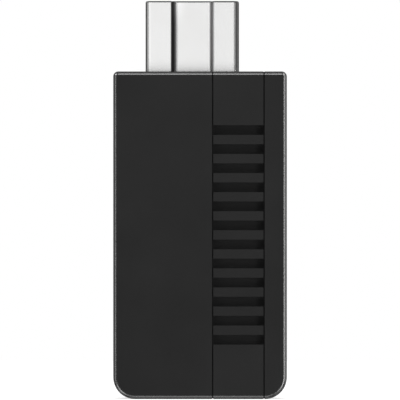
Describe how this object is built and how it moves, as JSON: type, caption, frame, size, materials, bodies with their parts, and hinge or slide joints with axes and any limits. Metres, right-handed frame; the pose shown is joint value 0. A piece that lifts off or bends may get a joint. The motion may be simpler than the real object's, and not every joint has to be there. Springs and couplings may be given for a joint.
{
  "type": "plug-in wireless receiver stick",
  "caption": "Slim dark plastic stick with a keyed metal plug on one end, a vented strip let into its front, and a cable port, push button and status window in its other end.",
  "frame": {"origin": "centre of the flat end face that holds the cable port, which the stick stands on", "axes": "+Z along the stick towards the plug, +Y from the slotted front to the label side, +X to the right seen from the front"},
  "size_m": [0.0232, 0.0126, 0.0532],
  "materials": {
    "casing": "fine moulded texture, dark grey",
    "strip": "fine moulded texture, dark grey",
    "button": "satin, near black",
    "label": "printed film, blank",
    "screw_steel": "black zinc",
    "plug_metal": "satin nickel plate",
    "port_metal": "tin plate",
    "contact_gold": "gold plate",
    "moulding_black": "glass-filled, black",
    "moulding_grey": "glass-filled, grey",
    "laminate": "green solder mask over glass laminate",
    "chip_resin": "mould compound with tinned leads",
    "ceramic_light": "fired ceramic with tinned ends",
    "ceramic_dark": "film on ceramic with tinned ends",
    "ferrite": "ferrite block",
    "clear_plastic": "clear moulded window",
    "led_white": "white case"
  },
  "bodies": {
    "root": {"front_cover": "casing", "rear_cover": "casing", "vent_strip": "strip", "rear_label": "label", "casing_screws": "screw_steel", "plug_shell": "plug_metal", "plug_insulator": "moulding_black", "plug_contacts": "contact_gold", "circuit_board": "laminate", "shield_can": "port_metal", "main_chip": "chip_resin", "memory_chip": "chip_resin", "crystal": "port_metal", "antenna": "ceramic_light", "voltage_regulator": "chip_resin", "surge_protector": "chip_resin", "power_inductor": "ferrite", "capacitors": "ceramic_light", "resistors": "ceramic_dark", "usb_shell": "port_metal", "usb_insulator": "moulding_black", "usb_contacts": "contact_gold", "switch_base": "moulding_grey", "switch_dome": "port_metal", "switch_cover": "port_metal", "status_led": "led_white", "light_pipe": "clear_plastic"},
    "button": {"pair_button": "button"},
    "stem": {"switch_plunger": "moulding_grey"}
  },
  "joints": [
    {"name": "button_press", "type": "slide", "parent": "root", "child": "button", "axis": [0, 0, 1], "range_m": [0, 0.00025]},
    {"name": "stem_press", "type": "slide", "parent": "root", "child": "stem", "axis": [0, 0, 1], "range_m": [0, 0.00025], "deforming": ["switch_dome"]}
  ],
  "couplings": [
    {"joint": "stem_press", "follows": "button_press", "ratio": 1}
  ]
}
